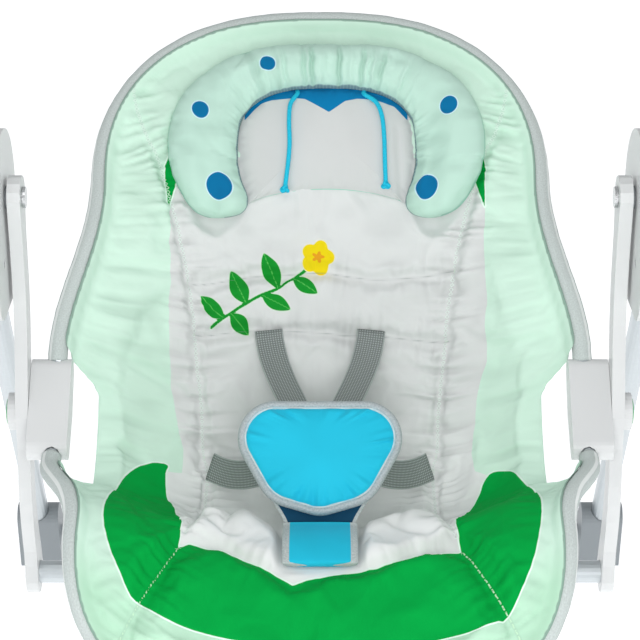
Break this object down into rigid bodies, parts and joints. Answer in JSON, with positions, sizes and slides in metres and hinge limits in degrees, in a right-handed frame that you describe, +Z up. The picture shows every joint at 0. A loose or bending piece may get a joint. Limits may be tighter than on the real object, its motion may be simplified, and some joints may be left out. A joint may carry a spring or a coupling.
{
  "type": "electric baby swing",
  "caption": "Padded bucket seat with a head pillow and a belly pad on a harness, hung by swing arms between folding A-frame legs with a battery drive in the hub.",
  "frame": {"origin": "on the floor under the middle of the stand, below the swing's shafts", "axes": "+Z up, -Y the way the baby faces, +X towards the drive hub with its knob and batteries"},
  "size_m": [0.656, 0.65, 0.6042],
  "materials": {
    "white_plastic": "satin",
    "grey_plastic": "satin",
    "green_plastic": "satin",
    "blue_plastic": "satin",
    "frame_tube": "satin",
    "steel": "satin",
    "copper": "satin",
    "board": "satin",
    "mint_fabric": "matte",
    "pillow_fabric": "matte",
    "light_fabric": "matte",
    "cyan_fabric": "matte",
    "webbing": "matte"
  },
  "bodies": {
    "base": {"rear_floor_tube": "frame_tube", "rear_leg_left": "frame_tube", "rear_leg_right": "frame_tube", "rear_foot_left": "grey_plastic", "rear_foot_right": "grey_plastic", "hub_inner_shell_left": "white_plastic", "hub_inner_shell_right": "white_plastic", "hub_outer_shell_left": "white_plastic", "hub_outer_shell_right": "white_plastic", "shaft_bushing_left": "grey_plastic", "shaft_bushing_right": "grey_plastic", "fold_pin_left": "steel", "fold_pin_right": "steel", "drive_coil": "copper", "speaker": "grey_plastic", "circuit_board": "board", "battery_cell_1": "steel", "battery_cell_2": "steel", "battery_cell_3": "steel", "battery_cell_4": "steel"},
    "front_legs": {"front_floor_tube": "frame_tube", "front_leg_left": "frame_tube", "front_leg_right": "frame_tube", "front_foot_left": "grey_plastic", "front_foot_right": "grey_plastic", "front_knuckle_left": "grey_plastic", "front_knuckle_right": "grey_plastic"},
    "battery_door": {"battery_door": "white_plastic"},
    "speed_knob": {"speed_knob": "green_plastic"},
    "power_button": {"power_button": "green_plastic"},
    "music_button": {"music_button": "blue_plastic"},
    "fold_button_left": {"fold_button_left": "green_plastic"},
    "fold_button_right": {"fold_button_right": "green_plastic"},
    "swing_arms": {"swing_shaft_left": "steel", "swing_shaft_right": "steel", "swing_arm_left": "white_plastic", "swing_arm_right": "white_plastic", "arm_cross_tube": "frame_tube", "magnet_lever": "grey_plastic", "drive_magnet": "steel"},
    "recline_button_left": {"recline_button_left": "green_plastic"},
    "recline_button_right": {"recline_button_right": "green_plastic"},
    "seat": {"seat_bracket_left": "white_plastic", "seat_bracket_right": "white_plastic", "back_frame_tube": "frame_tube", "front_frame_tube": "frame_tube", "seat_cover": "mint_fabric", "head_pillow": "pillow_fabric", "pillow_insert": "light_fabric", "pillow_cord_left": "cyan_fabric", "pillow_cord_right": "cyan_fabric", "belly_pad": "cyan_fabric", "buckle_body": "grey_plastic", "crotch_strap": "cyan_fabric", "shoulder_strap_left": "webbing", "shoulder_strap_right": "webbing", "waist_strap_left": "webbing", "waist_strap_right": "webbing"},
    "buckle_button": {"buckle_button": "green_plastic"}
  },
  "joints": [
    {"name": "front_leg_fold", "type": "hinge", "parent": "base", "child": "front_legs", "pos_m": [0, -0.026, 0.45], "axis": [1, 0, 0], "range_deg": [0, 60]},
    {"name": "seat_swing", "type": "hinge", "parent": "base", "child": "swing_arms", "pos_m": [0, 0, 0.5], "axis": [1, 0, 0], "range_deg": [-12, 12]},
    {"name": "seat_recline", "type": "hinge", "parent": "swing_arms", "child": "seat", "pos_m": [0, -0.021, 0.3122], "axis": [1, 0, 0], "range_deg": [-15, 0]},
    {"name": "speed_knob_turn", "type": "hinge", "parent": "base", "child": "speed_knob", "pos_m": [0.3265, 0, 0.5], "axis": [1, 0, 0], "range_deg": [0, 270]},
    {"name": "power_press", "type": "slide", "parent": "base", "child": "power_button", "axis": [-1, 0, 0], "range_m": [0, 0.0012], "stiffness_N_per_m": 300, "springref_m": -0.001},
    {"name": "music_press", "type": "slide", "parent": "base", "child": "music_button", "axis": [-1, 0, 0], "range_m": [0, 0.0012], "stiffness_N_per_m": 300, "springref_m": -0.001},
    {"name": "fold_press_left", "type": "slide", "parent": "base", "child": "fold_button_left", "axis": [0, 0.9965, -0.0837], "range_m": [0, 0.0015], "stiffness_N_per_m": 300, "springref_m": -0.001},
    {"name": "fold_press_right", "type": "slide", "parent": "base", "child": "fold_button_right", "axis": [0, 0.9965, -0.0837], "range_m": [0, 0.0015], "stiffness_N_per_m": 300, "springref_m": -0.001},
    {"name": "battery_door_lift", "type": "slide", "parent": "base", "child": "battery_door", "axis": [1, 0, 0], "range_m": [0, 0.03]},
    {"name": "recline_press_left", "type": "slide", "parent": "swing_arms", "child": "recline_button_left", "axis": [1, 0, 0], "range_m": [0, 0.002], "stiffness_N_per_m": 300, "springref_m": -0.001},
    {"name": "recline_press_right", "type": "slide", "parent": "swing_arms", "child": "recline_button_right", "axis": [-1, 0, 0], "range_m": [0, 0.002], "stiffness_N_per_m": 300, "springref_m": -0.001},
    {"name": "buckle_press", "type": "slide", "parent": "seat", "child": "buckle_button", "axis": [0, 0.8387, -0.5446], "range_m": [0, 0.0024], "stiffness_N_per_m": 300, "springref_m": -0.001}
  ]
}
